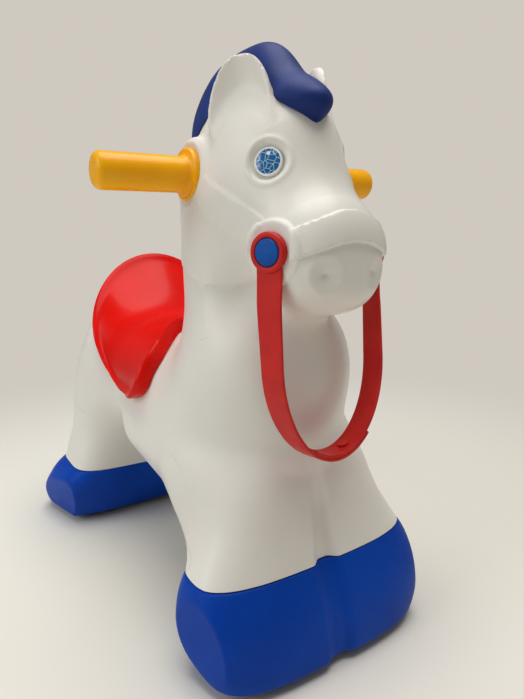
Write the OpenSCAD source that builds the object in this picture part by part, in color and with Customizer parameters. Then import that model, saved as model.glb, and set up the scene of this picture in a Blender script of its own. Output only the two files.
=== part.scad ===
// Ride-on horse for a small child, standing on four hidden castors.
// Millimetres, +Z up, the horse looks along -Y, the floor is z = 0.

/* [Head] */
// Height of the handle axis above the floor
head_height = 401; // [385:1:420]
// Distance of the handle axis ahead of the middle
head_ahead = 98; // [93:1:104]
// Half width of the skull
skull_half_width = 54; // [51:0.5:56]
// Half width of the muzzle
muzzle_half_width = 44.5; // [41:0.5:46]
// Height of the moulded noseband over the skin
noseband_height = 2.6; // [1.5:0.1:4]
// Radius of the raised boss behind each grip
boss_radius = 30; // [27:0.5:33]
// Distance from the middle to the face of each grip boss
boss_face = 57; // [55:0.5:60]

/* [Body] */
// Wall of the blow-moulded body
wall = 3; // [2.5:0.25:5]
// Half width of the barrel of the body
barrel_half_width = 86; // [80:1:92]
// Half width of the hips
hip_half_width = 93; // [88:1:100]
// Height of the rump behind the saddle
rump_height = 294; // [280:1:305]
// Edge length of the surface grid of the body
skin_cell = 14; // [12:0.5:16]

/* [Saddle] */
// Wall of the saddle
saddle_wall = 4.5; // [3.5:0.25:7]
// Rise of the cantle above the rump
cantle_rise = 35; // [20:1:44]
// Drop of the flaps, as an angle from the top
flap_angle = 85; // [78:1:94]

/* [Mane and ears] */
// Thickness of the mane on the crown
mane_thickness = 27; // [18:1:34]
// Half width of the mane between the ears
mane_half_width = 20.5; // [18:0.5:22]
// Half width of the forelock
forelock_half_width = 24; // [22:0.5:27]
// Half width of the mane behind the ears
nape_half_width = 38; // [32:1:42]
// Height of the ears above the skull
ear_height = 54; // [40:1:60]

/* [Handle] */
// Distance between the two grip ends
handle_span = 277; // [260:1:300]
// Radius of the grips
grip_radius = 14.5; // [13:0.25:17]
// Radius of the grip flanges
flange_radius = 21.5; // [19:0.5:24]
// Thickness of the grip flanges
flange_thickness = 6; // [4:0.5:9]
// Radius of the steel rod through the head
rod_radius = 6; // [5:0.25:7]

/* [Eyes] */
// Radius of the eye buttons
eye_radius = 10.6; // [9:0.1:12]
// Depth of the eye sockets
socket_depth = 4; // [3:0.25:5]

/* [Rein] */
// Width of the strap
strap_width = 21; // [18:0.5:24]
// Thickness of the strap
strap_thickness = 2.6; // [2:0.1:3.4]
// Radius of the loop at the bottom
loop_radius = 51; // [50.5:0.5:56]
// Height of the bottom of the loop above the floor
rein_low = 176.5; // [168:0.5:186]
// Lean of the hanging loop towards the front
rein_lean = 4; // [2:0.5:8]
// Radius of the eyelets
eyelet_radius = 14.4; // [13:0.2:16]
// Radius of the heads of the rein pins
pin_head_radius = 9.8; // [8.5:0.1:10.6]

/* [Bases] */
// Height of the front base
front_base_height = 84; // [80:1:90]
// Height of the rear base
rear_base_height = 74; // [71:1:80]
// Half width of the front base at its top
front_base_half_width = 107; // [102:1:112]
// Half width of the rear base at its top
rear_base_half_width = 119; // [116:1:126]
// Wall of the bases
base_wall = 4; // [3:0.25:5]
// Gap between the base rim and the floor
rim_gap = 7; // [5:0.5:10]

/* [Castors] */
// Radius of the wheels
wheel_radius = 20; // [18:0.5:21]
// Width of the wheels
wheel_width = 15; // [12:0.5:18]
// Distance of the wheel axle behind the swivel
castor_trail = 13; // [10:0.5:15]
// Radius of the swivel stems
stem_radius = 4; // [3.5:0.25:5]
// Radius of the wheel axles
axle_radius = 3; // [2.5:0.25:3.5]

/* [Hidden] */
$fn = 48;
running = 0.05;
head_y = -head_ahead;
head = [0, head_y, head_height];
front_leg_y = -172;
front_leg_half_depth = 38;
rear_leg_y = 156;
rear_leg_half_depth = 53;
front_foot_y = -182;
front_foot_half_depth = 49;
rear_foot_y = 188;
rear_foot_half_depth = 58;
base_plate = 6;
leg_floor = 6;
CORNERS = [for (c = [0:7]) [c % 2, floor(c / 2) % 2, floor(c / 4)]];
EDGES = [for (a = [0:6]) for (b = [a + 1:7])
    if (abs(norm(CORNERS[a] - CORNERS[b]) - 1) < 0.01) [a, b]];
CASTORS = [
    ["front_left", [66, front_foot_y - 2], front_base_height],
    ["front_right", [-66, front_foot_y - 2], front_base_height],
    ["rear_left", [80, rear_foot_y - 6], rear_base_height],
    ["rear_right", [-80, rear_foot_y - 6], rear_base_height]
];
CASTOR_PARTS = ["castor_fork", "castor_stem", "castor_axle", "wheel"];
SIDES = [["left", 1], ["right", -1]];
SIDE_PARTS = ["grip", "eye_button", "eye_iris", "rein_eyelet", "rein_pin", "rein_strap"];

// blending and solid fields, negative inside

function mix(a, b, t) = a + (b - a) * t;
function clamp(t) = max(0, min(1, t));
function ease(t) = let (c = clamp(t)) c * c * (3 - 2 * c);
function blend(a, b, k) = let (h = max(k - abs(a - b), 0) / k) min(a, b) - h * h * k / 4;
function egg(p, c, r) =
    let (
        q = p - c,
        near = norm([q.x / r.x, q.y / r.y, q.z / r.z]),
        slope = norm([q.x / (r.x * r.x), q.y / (r.y * r.y), q.z / (r.z * r.z)])
    )
    slope < 0.000001 ? -min(r) : near * (near - 1) / slope;
function limb(p, a, b, ra, rb) =
    let (d = b - a, t = clamp((p - a) * d / (d * d)))
    egg(p, a + d * t, mix(ra, rb, t));
function pillow(p, c, r, n) =
    let (q = p - c)
    (pow(pow(abs(q.x) / r.x, n) + pow(abs(q.y) / r.y, n) + pow(abs(q.z) / r.z, n), 1 / n) - 1) * min(r);
function barrel(p, a, b, ra, rb, n) =
    let (d = b - a, t = clamp((p - a) * d / (d * d)))
    pillow(p, a + d * t, mix(ra, rb, t), n);
// pair of legs in one, from height low up to 190, with place, half width and half depth at each end
// and the squareness of the foot
function leg(p, low, place, width, depth, square) =
    let (
        s = pow(clamp((190 - p.z) / (190 - low)), 1.4),
        w = mix(width[1], width[0], s),
        d = mix(depth[1], depth[0], s),
        y = mix(place[1], place[0], s),
        n = mix(3, square, s),
        q = pow(pow(abs(p.x) / w, n) + pow(abs(p.y - y) / d, n), 1 / n)
    )
    -blend((1 - q) * min(w, d), 190 - p.z, 50);
function body_field(p) =
    let (
        h = p - head,
        bw = barrel_half_width,
        fore_width = [front_base_half_width, 62],
        fore = leg(p, front_base_height, [front_leg_y, -137], fore_width, [front_leg_half_depth, 56], 3),
        hind_width = [rear_base_half_width, 92],
        hind = leg(p, rear_base_height, [rear_leg_y, 150], hind_width, [rear_leg_half_depth, 66], 4.3),
        trunk = barrel(p, [0, -88, 178], [0, 90, 198], [bw, 60, 68], [bw - 4, 66, 62], 2.6),
        girth = limb(p, [0, -118, 142], [0, 6, 154], [bw, 44, 46], [bw, 50, 48]),
        rump = egg(p, [0, 149, rump_height - 104], [hip_half_width, 86, 104]),
        chest = egg(p, [0, -130, 232], [66, 58, 60]),
        neck = limb(p, [0, -112, 240], [0, head_y - 6, head_height - 31], [66, 70, 70], [61, 78, 60]),
        skull = egg(h, [0, -23, 6], [skull_half_width, 75, 69]),
        bridge = limb(h, [0, -52, -8], [0, -98, -50], [48, 48, 45], [42, 35, 36]),
        muzzle = pillow(h, [0, -104, -70], [muzzle_half_width, 36, 41], 2.5),
        belly = blend(blend(trunk, girth, 30), rump, 40),
        torso = blend(blend(belly, blend(fore, hind, 10), 40), chest, 25),
        face = blend(blend(skull, bridge, 22), muzzle, 12)
    )
    blend(blend(torso, neck, 40), face, 22);
function leg_end(y) = y < 0 ? front_base_height : rear_base_height;
function slope(p) =
    let (e = 0.5, f = body_field(p))
    [body_field(p + [e, 0, 0]) - f, body_field(p + [0, e, 0]) - f, body_field(p + [0, 0, e]) - f] / e;
function outward(p) = let (g = slope(p)) g / norm(g);
// distance along d from the inside point o to the skin
function reach(o, d, a, b, n) =
    let (m = (a + b) / 2)
    n == 0 ? m : body_field(o + d * m) < 0 ? reach(o, d, m, b, n - 1) : reach(o, d, a, m, n - 1);
function skin_at(o, d, far) = o + d * reach(o, d, 0, far, 15);

// places that are found on the skin

eye_spot = skin_at(head + [0, -87, 2], [1, 0, 0], 90);
eye_axis = outward(eye_spot);
bit_spot = skin_at(head + [0, -104, -62.5], [1, 0, 0], 90);
bit_axis = [cos(23), -sin(23), 0];
bit_rise = 3.5;
bit_face = bit_spot + bit_axis * bit_rise;
eyelet_base = 3;
eyelet_height = 5.5;
hinge_z = bit_face.z - eyelet_radius - strap_width / 2 - 11;
hinge_y = (bit_face + bit_axis * eyelet_base / 2).y;
drum_radius = strap_width / 2 + 0.4;
rein_length = (hinge_z - rein_low - strap_width / 2 * sin(rein_lean)) / cos(rein_lean);
strap_drop = rein_length - loop_radius - strap_thickness / 2;
loop_z = hinge_z - strap_drop;
inner_loop = loop_radius - strap_thickness - running;
stud_angle = 17;
flap_spot = saddle_skin(0.5, flap_angle - 7);
flap_axis = outward(flap_spot);
mane_pegs = [-20, 22];

// surfaces made from points

// end cap across a ring of n points, as a ladder whose rungs join i to n + off - i
function rungs(n, off, i) = let (a = (n + off - i) % n, b = (n + off - i - 1) % n)
    concat(a == i ? [] : [[i, i + 1, a]], b == i + 1 ? [] : [[i + 1, b, a]]);
function cap(n, off) = [for (i = [0:n / 2 - 1]) each rungs(n, off, i)];
function ring_sides(rings, n) = [for (j = [0:rings - 2]) for (i = [0:n - 1]) each [
    [j * n + i, (j + 1) * n + i, (j + 1) * n + (i + 1) % n],
    [j * n + i, (j + 1) * n + (i + 1) % n, j * n + (i + 1) % n]
]];
module loft(rings, off = 0) {
    n = len(rings[0]);
    top = (len(rings) - 1) * n;
    ends = cap(n, off);
    polyhedron(
        [for (r = rings) each r],
        concat(ring_sides(len(rings), n), ends, [for (f = ends) [top + f[2], top + f[1], top + f[0]]])
    );
}
// the same, with each end closed by a fan about its middle
module drum(rings) {
    n = len(rings[0]);
    all = len(rings) * n;
    top = all - n;
    polyhedron(
        concat([for (r = rings) each r], [mean(rings[0]), mean(rings[len(rings) - 1])]),
        concat(
            ring_sides(len(rings), n),
            [for (i = [0:n - 1]) [i, (i + 1) % n, all]],
            [for (i = [0:n - 1]) [top + (i + 1) % n, top + i, all + 1]]
        )
    );
}
// closed plate between an inner and an outer grid of points
module plate(inner, outer) {
    last = len(inner[0]) - 1;
    loft([for (j = [0:len(inner) - 1]) concat(outer[j], [for (i = [last:-1:0]) inner[j][i]])], -1);
}
function mean(v) = [for (i = [1:len(v)]) 1] * v / len(v);
// moves p to the depth shift under the skin, if it lies within limit of that
function settled(p, shift, limit, n) =
    let (g = slope(p), m = norm(g), d = body_field(p) / m + shift)
    n == 0 || abs(d) > limit ? p : settled(p - g / m * d, shift, limit, n - 1);
function crossings(v) = [for (e = EDGES)
    if ((v[e[0]] < 0) != (v[e[1]] < 0))
        mix(CORNERS[e[0]], CORNERS[e[1]], v[e[0]] / (v[e[0]] - v[e[1]]))];
// skin of the body, moved in by shift, closed at end above the leg ends
module skin(cell, shift, end) {
    half = ceil((rear_base_half_width + 21) / cell);
    low = [-half * cell, head_y - 172, rear_base_height - 25];
    count = [2 * half + 1, ceil((275 - low.y) / cell), ceil((head_height + 95 - low.z) / cell)];
    grid = [for (k = [0:count.z - 1]) [for (j = [0:count.y - 1]) [for (i = [0:count.x - 1])
        let (p = low + cell * [i, j, k]) max(body_field(p) + shift, leg_end(p.y) + end - p.z)]]];
    cells = [for (k = [0:count.z - 2]) for (j = [0:count.y - 2]) for (i = [0:count.x - 2])
        let (x = crossings([for (c = CORNERS) grid[k + c.z][j + c.y][i + c.x]]))
        len(x) == 0 ? undef : low + cell * ([i, j, k] + mean(x))];
    order = [for (i = 0, m = 0; i < len(cells); m = m + (is_undef(cells[i]) ? 0 : 1), i = i + 1) m];
    function id(i, j, k) = order[i + (count.x - 1) * (j + (count.y - 1) * k)];
    function wound(q, flip) = flip
        ? [[q[2], q[1], q[0]], [q[3], q[2], q[0]]]
        : [[q[0], q[1], q[2]], [q[0], q[2], q[3]]];
    function quads(i, j, k) =
        let (a = grid[k][j][i] < 0)
        concat(
            a == (grid[k][j][i + 1] < 0) ? [] :
                wound([id(i, j - 1, k - 1), id(i, j, k - 1), id(i, j, k), id(i, j - 1, k)], a),
            a == (grid[k][j + 1][i] < 0) ? [] :
                wound([id(i - 1, j, k - 1), id(i - 1, j, k), id(i, j, k), id(i, j, k - 1)], a),
            a == (grid[k + 1][j][i] < 0) ? [] :
                wound([id(i - 1, j - 1, k), id(i, j - 1, k), id(i, j, k), id(i - 1, j, k)], a)
        );
    polyhedron(
        [for (c = cells) if (!is_undef(c)) settled(c, shift, cell * 0.7, 2)],
        [for (k = [1:count.z - 2]) for (j = [1:count.y - 2]) for (i = [1:count.x - 2]) each quads(i, j, k)]
    );
}
// stands children on point p with their Z along n
module facing(p, n) {
    translate(p) rotate([0, acos(n.z), atan2(n.y, n.x)]) children();
}
module both_sides() {
    children();
    mirror([1, 0, 0]) children();
}
module on_side(s) {
    if (s > 0) children();
    else mirror([1, 0, 0]) children();
}
module along_x(p) {
    translate(p) rotate([0, 90, 0]) children();
}

// body

module leg_cuts() {
    translate([-200, -400, 0]) cube([400, 400, front_base_height]);
    translate([-200, 0, 0]) cube([400, 400, rear_base_height]);
}
function ear_ring(t) =
    let (
        w = 28 * pow(1 - pow(t, 2.6), 0.5) * mix(0.7, 1, ease(t / 0.3)) + 1.5,
        dish = 5 * sin(180 * clamp(t * 0.92)),
        deep = mix(22, 4, t),
        foot = head + [mix(44, 40, t) - 9 * pow(1 - t, 6), mix(-54, -53, t), mix(16, 29 + ear_height, t)],
        along = [-0.5, -0.866, 0],
        face = [0.866, -0.5, 0]
    )
    concat(
        [for (i = [5:-1:-5]) let (u = i / 5) foot + along * (w * u) - face * (dish * (1 - u * u))],
        [for (i = [-4:4]) let (u = i / 5)
            foot + along * (w * u * 0.97) - face * (dish * (1 - u * u) + 2 + deep * sqrt(1 - u * u))]
    );
module ear() {
    loft([for (t = [0, 0.2, 0.4, 0.55, 0.7, 0.8, 0.88, 0.94, 0.98, 1]) ear_ring(t)]);
}
function band_point(a, w, lift) =
    let (
        o = head + [0, -104, w - 61 + 16 * pow(cos(a), 1.5)],
        d = [sin(a), -cos(a), 0]
    )
    o + d * (reach(o, d, 0, 80, 13) + lift);
module noseband() {
    loft([for (i = [-8:8]) let (a = i * 8.2) [
        band_point(a, -10.5, -2.5),
        band_point(a, 10.5, -2.5),
        band_point(a, 10.5, noseband_height - 0.8),
        band_point(a, 8.5, noseband_height),
        band_point(a, -8.5, noseband_height),
        band_point(a, -10.5, noseband_height - 0.8)
    ]], -1);
}
module handle_boss() {
    r = boss_radius;
    along_x([boss_face - 22, head_y, head_height]) rotate_extrude()
        polygon([[0, 0], [r, 0], [r, 18], [r - 1.2, 20.6], [r - 4, 22], [0, 22]]);
}
module bit_boss() {
    facing(bit_face, bit_axis) rotate_extrude()
        polygon([[0, -12], [23, -12], [23, -1.5], [22.5, -0.5], [21.5, 0], [0, 0]]);
}
module eye_socket() {
    r = eye_radius;
    facing(eye_spot, eye_axis) rotate_extrude()
        polygon([[0, -socket_depth], [r + 0.4, -socket_depth], [r + 4, 0], [r + 5, 6], [0, 6]]);
}
module eye_pad() {
    facing(eye_spot, eye_axis) translate([0, 0, -socket_depth - 5]) cylinder(r = eye_radius + 3, h = 5.5);
}
module body_bores() {
    along_x([-90, head_y, head_height]) cylinder(r = rod_radius + 0.1, h = 180);
    both_sides() along_x([boss_face, head_y, head_height]) cylinder(r = flange_radius + 2, h = 30);
    both_sides() facing(eye_spot, eye_axis) translate([0, 0, -16]) cylinder(r = 3.1, h = 20);
    both_sides() facing(bit_face, bit_axis) translate([0, 0, -19]) cylinder(r = 5.1, h = 24);
    both_sides() facing(flap_spot, flap_axis) translate([0, 0, -20]) cylinder(r = 2.45, h = 24);
    for (a = mane_pegs) mane_peg(a) translate([0, 0, -14]) cylinder(r = 4.1, h = 20);
    for (x = [-34, 34]) translate([x, front_leg_y, front_base_height - 1]) cylinder(r = 2.45, h = 20);
    for (x = [-40, 40]) translate([x, rear_leg_y, rear_base_height - 1]) cylinder(r = 2.45, h = 20);
}
module body_shell() {
    color("white") difference() {
        union() {
            difference() {
                union() {
                    skin(skin_cell, 0, -10);
                    both_sides() ear();
                }
                skin(skin_cell + 6, wall, leg_floor);
            }
            noseband();
            both_sides() handle_boss();
            both_sides() bit_boss();
            both_sides() eye_pad();
        }
        leg_cuts();
        both_sides() eye_socket();
        body_bores();
    }
}

// saddle

saddle_gap = 0.7;
function saddle_rear(a) = 30 + 113 * pow(cos(90 * a / (flap_angle + 1)), 0.7);
function saddle_front(a) = 8 - 50 * ease((a - 12) / 46);
// across the saddle from front to rear, drawn together round the tip of the flap
function saddle_place(v, a) =
    let (
        front = saddle_front(abs(a)),
        rear = saddle_rear(abs(a)),
        tip = clamp((abs(a) - flap_angle + 15) / 15),
        half = (rear - front) / 2 * sqrt(1 - 0.94 * tip * tip)
    )
    (front + rear) / 2 + half * (2 * v - 1);
function saddle_ray(a) = [sin(a), 0, cos(a)];
function saddle_skin(v, a) = skin_at([0, saddle_place(v, a), 185], saddle_ray(a), 200);
function saddle_lift(v, a) = cantle_rise * pow(v, 3.2) * pow(max(0, cos(a)), 2.6) + 7 * pow(1 - v, 4);
function saddle_rim(i, n) = ease(min(i, n - i) / 2);
function saddle_row(v, edge, top) = [for (i = [-12:12])
    let (
        a = i * flap_angle / 12,
        side = saddle_rim(i + 12, 24),
        lift = saddle_lift(v, a),
        full = saddle_wall * mix(0.45, 1, min(side, edge))
    )
    let (rise = top ? lift + full : max(0, lift - 1) * min(side, edge))
    saddle_skin(v, a) + saddle_ray(a) * (saddle_gap + rise)];
saddle_rows = [for (j = [0:12]) j / 12];
module saddle() {
    color("red") difference() {
        plate(
            [for (j = [0:12]) saddle_row(saddle_rows[j], saddle_rim(j, 12), false)],
            [for (j = [0:12]) saddle_row(saddle_rows[j], saddle_rim(j, 12), true)]
        );
        both_sides() facing(flap_spot, flap_axis) translate([0, 0, -4]) cylinder(r = 2.6, h = 30);
        both_sides() facing(flap_spot, flap_axis) translate([0, 0, saddle_gap + 2.6])
            cylinder(r = 5.4, h = 20);
    }
}
module saddle_screws() {
    color("silver") both_sides() facing(flap_spot, flap_axis) {
        translate([0, 0, saddle_gap + 2.6]) cylinder(r = 4.8, h = 1.8);
        translate([0, 0, -12]) cylinder(r = 2.4, h = 12 + saddle_gap + 2.6);
    }
}

// mane

function mane_ray(a) = [0, -sin(a), cos(a)];
// rounded forelock, narrow between the ears, wide behind them, tapered at the nape
function mane_width(t) =
    let (crown = mix(forelock_half_width, mane_half_width, ease((t - 0.1) / 0.1)))
    mix(crown, nape_half_width, ease((t - 0.45) / 0.13))
    * (0.3 + 0.7 * sqrt(ease(t / 0.13)))
    * (1 - 0.45 * ease((t - 0.7) / 0.3));
// forelock lobe, waist, then the hump of the crown
function mane_depth(t) =
    let (waist = (t - 0.19) / 0.09)
    mane_thickness * (pow(sin(180 * mix(0.05, 0.93, t)), 0.45) - 0.36 * exp(-waist * waist));
function mane_row(t, top) =
    let (a = mix(74, -98, t), w = mane_width(t), d = mane_depth(t))
    [for (i = [-6:6])
        let (u = i / 6, o = head + [u * w, -20, 8], rise = top ? 3 + (d - 3) * sqrt(1 - u * u * 0.97) : 0)
        skin_at(o, mane_ray(a), 140) + mane_ray(a) * (0.4 + rise)];
module mane_peg(a) {
    translate(head + [0, -20, 8]) rotate([a, 0, 0])
        translate([0, 0, reach(head + [0, -20, 8], mane_ray(a), 0, 140, 15)]) children();
}
module mane() {
    color("navy") {
        plate(
            [for (j = [0:22]) mane_row(j / 22, false)],
            [for (j = [0:22]) mane_row(j / 22, true)]
        );
        for (a = mane_pegs) mane_peg(a) translate([0, 0, -11]) cylinder(r = 4, h = 16);
    }
}

// handle

module handle_rod() {
    color("silver") along_x([12 - handle_span / 2, head_y, head_height]) difference() {
        cylinder(r = rod_radius, h = handle_span - 24);
        translate([0, 0, -1]) cylinder(r = rod_radius - 1.5, h = handle_span);
    }
}
module grip(s) {
    tip = handle_span / 2 - boss_face;
    f = flange_thickness;
    color("gold") on_side(s) along_x([boss_face, head_y, head_height]) rotate_extrude()
        polygon(concat(
            [[rod_radius + running, 0], [flange_radius - 1, 0], [flange_radius, 1]],
            [[flange_radius, f - 2], [flange_radius - 0.6, f - 0.6], [flange_radius - 2, f]],
            [[grip_radius + 3, f], [grip_radius + 1, f + 1], [grip_radius, f + 3]],
            [for (i = [0:6]) let (a = i * 15) [grip_radius - 6 + 6 * cos(a), tip - 6 + 6 * sin(a)]],
            [[0, tip], [0, tip - 11.6], [rod_radius + running, tip - 11.6]]
        ));
}

// eyes

module eye_button(s) {
    color("white") on_side(s) facing(eye_spot, eye_axis) translate([0, 0, -socket_depth]) rotate_extrude()
        polygon([
            [0, -9], [3, -9], [3, 0], [eye_radius, 0], [eye_radius, 2.2], [eye_radius - 0.5, 2.7],
            [eye_radius - 1.4, 2.7], [eye_radius - 1.4, 2], [0, 2]
        ]);
}
module eye_iris(s) {
    r = eye_radius - 1.45;
    color("blue") on_side(s) facing(eye_spot, eye_axis) translate([0, 0, 2 - socket_depth]) rotate_extrude()
        polygon([[0, 0], [r, 0], [r, 0.6], [r * 0.7, 0.95], [r * 0.35, 1.15], [0, 1.2]]);
}

// rein

module hinge_drum(x, r, w) {
    along_x([x - w / 2, hinge_y, hinge_z]) cylinder(r = r, h = w);
}
module rein_eyelet(s) {
    e = eyelet_radius;
    h = eyelet_height;
    drop = bit_face.z - hinge_z - 4;
    color("crimson") on_side(s) difference() {
        union() {
            facing(bit_face, bit_axis) rotate_extrude()
                polygon([
                    [5.1, 0], [e - 0.8, 0], [e, 0.8], [e, h - 1.5], [e - 0.6, h - 0.4], [e - 2, h],
                    [pin_head_radius + 0.5, h], [pin_head_radius + 0.2, eyelet_base], [5.1, eyelet_base]
                ]);
            facing(bit_face, bit_axis) translate([e - 4, -strap_width / 2, 0.2])
                cube([drop - e + 4, strap_width, strap_thickness]);
        }
        hinge_drum(loop_radius, drum_radius + 0.5, 60);
        // room for the strap swung up in front
        translate([loop_radius - 30, hinge_y - 40, hinge_z - drum_radius - 0.5])
            cube([60, 40, 2 * drum_radius + 1]);
    }
}
module rein_pin(s) {
    r = pin_head_radius;
    color("blue") on_side(s) facing(bit_face, bit_axis) rotate_extrude()
        polygon([
            [0, -17], [5, -17], [5, eyelet_base], [r, eyelet_base], [r, eyelet_base + 2],
            [r - 0.8, eyelet_base + 2.9], [r * 0.6, eyelet_base + 3.2], [0, eyelet_base + 3.4]
        ]);
}
module leaning() {
    translate([0, hinge_y, hinge_z]) rotate([-rein_lean, 0, 0]) translate([0, -hinge_y, -hinge_z]) children();
}
// one strap of the loop on the right, with its arc of the given sweep
module strap(radius, sweep) {
    y0 = hinge_y - strap_width / 2;
    hinge_drum(-radius, drum_radius, strap_thickness);
    translate([-radius - strap_thickness / 2, y0, loop_z]) cube([strap_thickness, strap_width, strap_drop]);
    translate([0, y0 + strap_width, loop_z]) rotate([90, 0, 0]) rotate([0, 0, 180])
        rotate_extrude(angle = sweep, $fn = 96) translate([radius - strap_thickness / 2, 0])
            square([strap_thickness, strap_width]);
}
module stud_hole(r) {
    translate([0, hinge_y, loop_z]) rotate([0, 180 - stud_angle, 0])
        translate([0, 0, inner_loop - 6]) cylinder(r = r, h = 14);
}
module rein_strap(s) {
    color("crimson") leaning() difference() {
        if (s > 0) mirror([1, 0, 0]) strap(inner_loop, 112);
        else strap(loop_radius, 132);
        stud_hole(2.55);
    }
}
module rein_stud() {
    low = inner_loop - strap_thickness / 2;
    high = loop_radius + strap_thickness / 2;
    color("crimson") leaning() translate([0, hinge_y, loop_z]) rotate([0, 180 - stud_angle, 0]) {
        translate([0, 0, low - 1.5]) cylinder(r = 2.5, h = high - low + 3);
        translate([0, 0, low - 2.4]) cylinder(r = 4.5, h = 2);
        translate([0, 0, high + 0.4]) cylinder(r = 4.5, h = 1.6);
    }
}

// bases

// half width, back and front corner, leg and foot half depth, leg and foot place,
// spread at the rim, bulge, and the flat end: its place, slant along y and lean with height
front_size = concat(
    [front_base_half_width, 2.6, 3.4],
    [front_leg_half_depth, front_foot_half_depth, front_leg_y, front_foot_y],
    [8, 4, front_base_half_width + 0.5, 0.27, 0]
);
rear_size = concat(
    [rear_base_half_width, 3.2, 4.3],
    [rear_leg_half_depth, rear_foot_half_depth, rear_leg_y, rear_foot_y],
    [17, 16, rear_base_half_width + 16, 0.25, 0.184]
);
// outline of a base at height z, moved in by shift, with a dent in its outer end
function foot_ring(z, low, high, size, shift) =
    let (
        t = clamp((z - low) / (high - low)),
        less = shift + 2.5 * pow(1 - clamp((z - low) / 4), 2),
        bulge = 4 * t * (1 - t),
        w = mix(size[0] + size[7], size[0], t) + size[8] * bulge - less,
        d = mix(size[4], size[3], ease(t * 0.5) * 2) + 4 * bulge - less,
        y = mix(size[6], size[5], t),
        flat = size[9] + size[11] * (z - low) - less
    )
    [for (i = [0:47])
        let (
            c = cos(i * 7.5),
            s = sin(i * 7.5),
            n = s < 0 ? size[2] : size[1],
            q = pow(pow(abs(c), n) + pow(abs(s), n), 1 / n),
            along = y + s / q * d,
            limit = flat + size[10] * (along - size[6]),
            x = max(-limit, min(limit, c / q * w)),
            dent = s * size[6] > 0 ? 4 * exp(-x * x / 180) : 0
        )
        [x, along - sign(s) * dent, z]];
module foot(size, height, screw_x) {
    low = rim_gap;
    shelf = height - base_plate;
    difference() {
        union() {
            difference() {
                drum([for (k = [0, 0.03, 0.09, 0.2, 0.35, 0.5, 0.65, 0.8, 0.92, 1])
                    foot_ring(mix(low, height, k), low, height, size, 0)]);
                drum([for (k = [0, 0.1, 0.25, 0.45, 0.65, 0.85, 1])
                    foot_ring(mix(low - 1, shelf, k), low, height, size, base_wall)]);
            }
            for (c = CASTORS) if (sign(c[1].y) == sign(size[6])) castor_post(c);
        }
        for (c = CASTORS) if (sign(c[1].y) == sign(size[6])) stem_bore(c);
        for (x = [-screw_x, screw_x]) translate([x, size[5], shelf - 1]) cylinder(r = 2.6, h = 20);
    }
}
module base_screws(height, y, screw_x) {
    for (x = [-screw_x, screw_x]) translate([x, y, height - base_plate]) {
        translate([0, 0, -3]) cylinder(r = 5, h = 3);
        cylinder(r = 2.4, h = base_plate + 14);
    }
}
module front_base() {
    color("blue") foot(front_size, front_base_height, 34);
}
module rear_base() {
    color("blue") foot(rear_size, rear_base_height, 40);
}
module front_base_screws() {
    color("silver") base_screws(front_base_height, front_leg_y, 34);
}
module rear_base_screws() {
    color("silver") base_screws(rear_base_height, rear_leg_y, 40);
}

// castors

hub_low = 2 * wheel_radius + 2;
hub_high = hub_low + 6;
stem_top = hub_high + 16;
fork_gap = wheel_width / 2 + 0.6;
cheek = 3;
module castor_post(c) {
    translate([c[1].x, c[1].y, hub_high + 0.4])
        cylinder(r = stem_radius + 5, h = c[2] - base_plate - hub_high + 0.6);
}
module stem_bore(c) {
    translate([c[1].x, c[1].y, hub_high - 1])
        cylinder(r = stem_radius + running, h = stem_top - hub_high + 1.4);
}
module castor_fork(c) {
    rise = hub_low + 1 - wheel_radius;
    lean = atan2(castor_trail, rise);
    span = norm([castor_trail, rise]);
    color("dimgray") translate([c[1].x, c[1].y, 0]) difference() {
        union() {
            translate([0, 0, hub_low]) cylinder(r = stem_radius + 7, h = hub_high - hub_low);
            for (s = [-1, 1]) translate([s * (fork_gap + cheek / 2), 0, 0]) {
                translate([-cheek / 2, castor_trail, wheel_radius]) {
                    rotate([0, 90, 0]) cylinder(r = 7, h = cheek);
                    rotate([lean, 0, 0]) translate([0, -6.5, 0]) cube([cheek, 13, span]);
                }
            }
            translate([-fork_gap - cheek, -stem_radius - 4, hub_low])
                cube([2 * fork_gap + 2 * cheek, 2 * stem_radius + 8, 6]);
        }
        translate([0, 0, hub_low - 5]) cylinder(r = stem_radius, h = 20);
        translate([-30, castor_trail, wheel_radius]) rotate([0, 90, 0]) cylinder(r = axle_radius, h = 60);
    }
}
module castor_stem(c) {
    color("silver") translate([c[1].x, c[1].y, hub_low]) {
        cylinder(r = stem_radius, h = stem_top - hub_low - 0.8);
        translate([0, 0, stem_top - hub_low - 0.8])
            cylinder(r1 = stem_radius, r2 = stem_radius - 0.8, h = 0.8);
    }
}
module castor_axle(c) {
    w = fork_gap + cheek;
    color("silver") translate([c[1].x, c[1].y + castor_trail, wheel_radius]) rotate([0, 90, 0]) {
        translate([0, 0, -w]) cylinder(r = axle_radius, h = 2 * w);
        translate([0, 0, w]) cylinder(r = axle_radius + 1.6, h = 1.4);
        translate([0, 0, -w - 1.4]) cylinder(r = axle_radius + 1.6, h = 1.4);
    }
}
module wheel(c) {
    r = wheel_radius;
    h = wheel_width / 2;
    b = axle_radius + running;
    hub = axle_radius + 4;
    color("black") translate([c[1].x, c[1].y + castor_trail, r]) rotate([0, 90, 0]) rotate_extrude()
        polygon([
            [b, -h], [hub, -h], [hub + 0.5, 2 - h], [r - 5, 2 - h], [r - 4, -h], [r - 2, -h],
            [r - 0.6, 0.6 - h], [r, 2 - h], [r, h - 2], [r - 0.6, h - 0.6], [r - 2, h], [r - 4, h],
            [r - 5, h - 2], [hub + 0.5, h - 2], [hub, h], [b, h]
        ]);
}

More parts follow.
